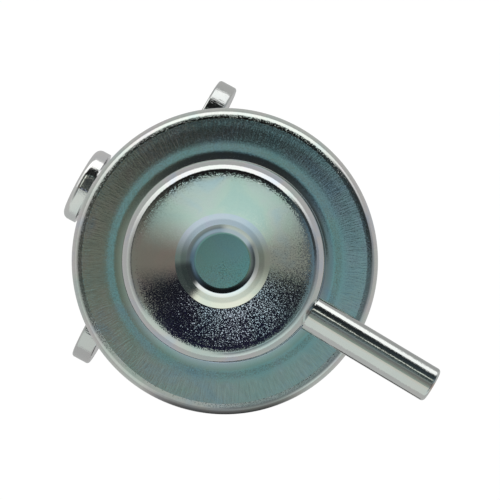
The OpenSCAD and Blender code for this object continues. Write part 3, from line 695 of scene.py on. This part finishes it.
def vacuumNipple():
    n = nipple
    section = [(n["bore"], n["start"]), (n["stub"], n["start"]), (n["stub"], n["shoulder"]),
               (n["radius"], n["shoulder"])]
    section += arc((n["radius"] - n["tip"], n["reach"] - n["tip"]), n["tip"], 0, 90, 10)
    section += arc((n["bore"] + n["boreTip"], n["reach"] - n["boreTip"]), n["boreTip"], 90, 180, 4)
    piece = spinPiece("vacuumNipple", section, closed=True, steps=96)
    place(piece, (housingAxis, 0, n["height"] * mm), (0, math.radians(90), math.radians(n["turn"])))
    return piece


# mounting flange: a stamped plate, two ears and a middle lobe

flange = {"thick": 3.4, "spacing": 40, "ear": 7.6, "lobe": 10, "hole": 3.3, "spigotHole": 6.8, "bevel": 0.5,
          "near": 0.01, "past": 1}  # how near counts as on a face, and how far a cutter runs past one


def mountingFlange():
    f = flange
    earY = f["spacing"] / 2
    discs = []
    for y, radius in [(0, f["lobe"]), (earY, f["ear"]), (-earY, f["ear"])]:
        disc = rod(radius * mm, (0, y * mm, 0), (f["thick"] * mm, y * mm, 0), vertices=128)
        discs.append(disc)
    deselect()
    for disc in discs:
        disc.select_set(True)
    bpy.context.view_layer.objects.active = discs[0]
    bpy.ops.object.join()
    piece = bpy.context.object
    piece.name = "mountingFlange"
    piece.data.name = "mountingFlange"
    bpy.ops.object.mode_set(mode="EDIT")
    bpy.ops.mesh.select_all(action="SELECT")
    bpy.ops.mesh.convex_hull()
    bpy.ops.mesh.select_all(action="SELECT")
    bpy.ops.mesh.dissolve_limited(angle_limit=math.radians(0.5))
    bpy.ops.mesh.select_mode(type="EDGE")
    bpy.ops.mesh.select_all(action="DESELECT")
    bpy.ops.object.mode_set(mode="OBJECT")
    for e in piece.data.edges:  # the outlines of the two faces
        ends = [piece.data.vertices[v].co.x for v in e.vertices]
        e.select = max(ends) < f["near"] * mm or min(ends) > (f["thick"] - f["near"]) * mm
    bpy.ops.object.mode_set(mode="EDIT")
    bpy.ops.mesh.bevel(offset=f["bevel"] * mm, segments=4, profile=0.5)
    bpy.ops.object.mode_set(mode="OBJECT")
    back, front = -f["past"] * mm, (f["thick"] + f["past"]) * mm
    for y, radius in [(0, f["spigotHole"]), (earY, f["hole"]), (-earY, f["hole"])]:
        cut(piece, rod(radius * mm, (back, y * mm, 0), (front, y * mm, 0)))
    return piece


# inlet spigot: a turned spigot with its O-ring groove and rounded collar

spigot = {"radius": 6.75, "length": 13.3, "bore": 3, "boreRound": 0.4, "collar": 2.6, "round": 1.2,
          "groove": 2.6, "grooveRadius": 5.0, "plate": 3.4, "stub": 4.2, "stubEnd": 5.4, "relief": 0.8,
          "reliefRadius": 6.45}


def inletSpigot():
    s = spigot
    far = s["length"] - s["collar"]
    near = far - s["groove"]
    section = [(s["bore"], -s["stubEnd"]), (s["stub"], -s["stubEnd"]), (s["stub"], -s["plate"]),
               (s["radius"], -s["plate"]), (s["radius"], 0), (s["reliefRadius"], 0),
               (s["reliefRadius"], s["relief"]), (s["radius"], s["relief"]), (s["radius"], near),
               (s["grooveRadius"], near), (s["grooveRadius"], far), (s["radius"], far)]
    section += arc((s["radius"] - s["round"], s["length"] - s["round"]), s["round"], 0, 90, 14)
    section += arc((s["bore"] + s["boreRound"], s["length"] - s["boreRound"]), s["boreRound"], 90, 180, 6)
    piece = spinPiece("inletSpigot", section, closed=True, steps=128)
    place(piece, (0, 0, 0), (0, math.radians(-90), 0))
    return piece


# O-ring in the spigot's groove

ring = {"middle": 9.4, "thick": 1.9, "gap": 0.02, "sides": 32}


def inletRing():
    centre = spigot["grooveRadius"] + ring["gap"] + ring["thick"] / 2
    sides = ring["sides"]
    section = arc((centre, ring["middle"]), ring["thick"] / 2, 0, 360 - 360 / sides, sides - 1)
    piece = spinPiece("inletRing", section, closed=True, steps=96)
    place(piece, (0, 0, 0), (0, math.radians(-90), 0))
    return piece


# lower housing: the drawn fuel cup

cup = {"radius": 14, "sheet": 1.4, "floor": -12, "corner": 2.4, "flare": 10.6, "flareRadius": 4.2,
       "flange": 24.75, "flangeLow": 14.8, "flangeTop": 16.2, "edge": 1.0, "flat": 12.8, "tubeHole": 4.05,
       "tubeHoleTop": -9, "spigotHole": 4.25, "past": 1, "sideReach": 20, "wallRows": 12}


def lowerHousing():
    c = cup
    low, top = c["floor"] - c["past"], c["flangeTop"] + c["past"]
    corner = (c["radius"] - c["corner"], c["floor"] + c["corner"])
    flare = (c["radius"] + c["flareRadius"], c["flare"])
    rows = c["wallRows"]
    wall = [corner[1] + (c["flare"] - c["floor"] - c["corner"]) * i / rows for i in range(1, rows)]
    outside = [(0, c["floor"])] + arc(corner, c["corner"], -90, 0, 12) + [(c["radius"], z) for z in wall]
    outside += arc(flare, c["flareRadius"], 180, 90, 16)
    outside += arc((c["flange"] - c["edge"], c["flangeLow"] + c["edge"]), c["edge"], -90, 0, 6)
    outside += [(c["flange"], c["flangeTop"]), (0, c["flangeTop"])]
    inner = c["radius"] - c["sheet"]
    hollow = [(0, c["floor"] + c["sheet"])] + arc(corner, c["corner"] - c["sheet"], -90, 0, 8)
    hollow += [(inner, z) for z in wall] + arc(flare, c["flareRadius"] + c["sheet"], 180, 90, 16)
    hollow += [(flare[0], top), (0, top)]
    piece = spinPiece("lowerHousing", outside)
    place(piece, (housingAxis, 0, 0))
    space = spinPiece("fuelSpace", hollow)
    place(space, (housingAxis, 0, 0))
    reach = c["sideReach"] * mm
    for shell, flat in ((space, c["flat"] - c["sheet"]), (piece, c["flat"])):
        side = housingAxis - flat * mm
        cut(shell, block((side - reach, -reach, low * mm), (side, reach, c["flare"] * mm)))
    cut(piece, space)
    cut(piece, rod(c["spigotHole"] * mm, (-c["past"] * mm, 0, 0), (housingAxis, 0, 0)))
    cut(piece, rod(c["tubeHole"] * mm, (housingAxis, 0, low * mm), (housingAxis, 0, c["tubeHoleTop"] * mm)))
    return piece


# return tube: a tube with an upset stop and a hose bead

tube = {"radius": 4, "bore": 3, "end": -34, "top": 6.9, "stop": 5.6, "stopThick": 1.4, "bead": 0.55,
        "beadAt": 4, "beadHalf": 1.4, "beadRows": 24, "tip": 0.4, "boreTip": 0.2}


def returnTube():
    t = tube
    section = arc((t["bore"] + t["boreTip"], t["end"] + t["boreTip"]), t["boreTip"], 180, 270, 4)
    section += arc((t["radius"] - t["tip"], t["end"] + t["tip"]), t["tip"], -90, 0, 8)
    for i in range(t["beadRows"] + 1):
        along = 2 * i / t["beadRows"] - 1
        swell = t["bead"] * (1 + math.cos(math.pi * along)) / 2
        section.append((t["radius"] + swell, t["end"] + t["beadAt"] + t["beadHalf"] * along))
    half = t["stopThick"] / 2
    section += [(t["radius"], cup["floor"] - t["stopThick"])]
    section += arc((t["stop"] - half, cup["floor"] - half), half, -90, 90, 12)
    section += [(t["radius"], cup["floor"]), (t["radius"], t["top"]), (t["bore"], t["top"])]
    piece = spinPiece("returnTube", section, closed=True, steps=96)
    place(piece, (housingAxis, 0, 0))
    return piece


# the two inner pieces that give when the valve lifts, as merged copies of their solids

soft = {"lift": 1, "springTop": 30.33, "wedges": 12, "plate": 12.5, "roll": 15.9}


def mergedCopy(name, node):
    piece = bpy.data.objects.new(name, nodes[node].data.copy())
    piece.data.name = name
    piece.data.transform(nodes[node].matrix_world)
    bpy.context.collection.objects.link(piece)
    pick(piece)
    bpy.ops.object.mode_set(mode="EDIT")
    mendMesh()
    bpy.ops.object.mode_set(mode="OBJECT")
    return piece


def mainSpring():  # a merged copy of the spring's solid, fixed to the housing
    piece = mergedCopy("mainSpring", "main_spring")
    finishPiece(piece, "housing", "main_spring", springSteel, sharp=40)
    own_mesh(piece)


def diaphragmWedge(index):  # one wedge of a merged copy of the diaphragm, cut between two planes through the housing's axis
    piece = mergedCopy("diaphragmWedge" + str(index + 1), "diaphragm")
    half = math.pi / soft["wedges"]
    middle = 2 * half * index
    centre = Vector((housingAxis, 0, 0))
    bpy.ops.object.mode_set(mode="EDIT")
    for turn, side in ((middle - half, -1), (middle + half, 1)):
        bpy.ops.mesh.select_all(action="SELECT")
        bpy.ops.mesh.bisect(plane_co=centre, plane_no=(-side * math.sin(turn), side * math.cos(turn), 0),
                            use_fill=True, clear_outer=True)
    bpy.ops.mesh.select_all(action="SELECT")
    bpy.ops.mesh.normals_make_consistent(inside=False)
    bpy.ops.object.mode_set(mode="OBJECT")
    coat(piece, clothRubber, sharp=30)
    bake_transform(piece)
    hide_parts("diaphragm")


finishPiece(upperHousing(), "housing", "upper_housing", domeZinc, sharp=14)
finishPiece(vacuumNipple(), "housing", "vacuum_nipple", tubeZinc)
finishPiece(mountingFlange(), "housing", "mounting_flange", plateZinc)
finishPiece(inletSpigot(), "housing", "inlet_spigot", turnedZinc)
finishPiece(inletRing(), "housing", "inlet_o_ring", ringRubber)
finishPiece(lowerHousing(), "housing", "lower_housing", cupZinc)
finishPiece(returnTube(), "housing", "return_tube", returnZinc)
mainSpring()
for index in range(soft["wedges"]):
    diaphragmWedge(index)
print("soft pieces made")

bpy.context.scene.view_settings.view_transform = "Standard"
